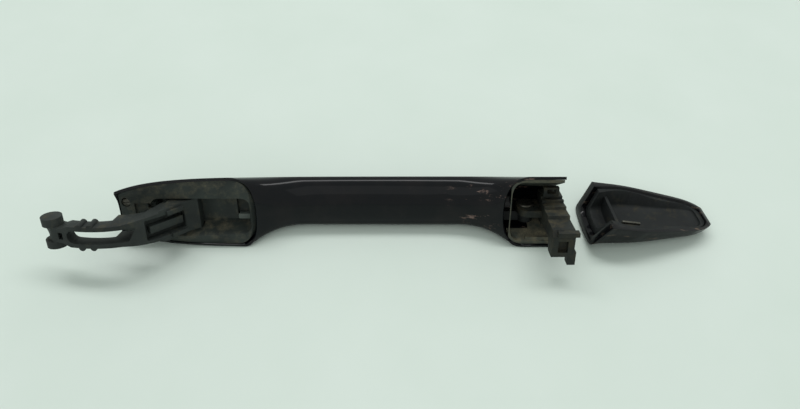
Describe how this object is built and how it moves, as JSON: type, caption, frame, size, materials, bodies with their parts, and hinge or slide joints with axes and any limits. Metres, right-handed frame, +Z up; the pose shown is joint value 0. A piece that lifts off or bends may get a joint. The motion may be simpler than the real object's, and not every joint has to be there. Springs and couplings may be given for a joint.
{
  "type": "car door handle",
  "caption": "Strap-type exterior car door pull with hinge arm, latch hook and a separate tapered end cap, laid on its side with the door side open to view.",
  "frame": {"origin": "under the middle of the pair as it lies, on the surface it lies on", "axes": "+X along the grip from the hinge end to the cap, +Y away from the open door side, +Z up from the surface. The grip lies rolled back 23 degrees on its lower side wall."},
  "size_m": [0.2782, 0.044, 0.0306],
  "materials": {
    "dark_paint": "gloss",
    "dusty_plastic": "matte, dusty",
    "arm_plastic": "matte",
    "light_plastic": "matte",
    "zinc_steel": "dull zinc plate"
  },
  "bodies": {
    "handle": {"outer_shell": "dark_paint", "inner_cover": "dark_paint", "grip_core": "dusty_plastic", "front_base": "dusty_plastic", "rear_liner": "dusty_plastic", "rear_hook": "dusty_plastic", "rear_clip": "dusty_plastic", "hinge_arm": "arm_plastic", "access_plug": "light_plastic", "arm_clip": "zinc_steel", "core_screws": "zinc_steel", "front_screw": "zinc_steel", "hook_screw": "zinc_steel"},
    "cap": {"cap_shell": "dark_paint", "cap_liner": "dusty_plastic", "cap_clip": "zinc_steel"}
  },
  "joints": [
    {"name": "cap_slide", "type": "slide", "parent": "handle", "child": "cap", "axis": [1, 0, 0], "range_m": [0, 0.06]}
  ]
}
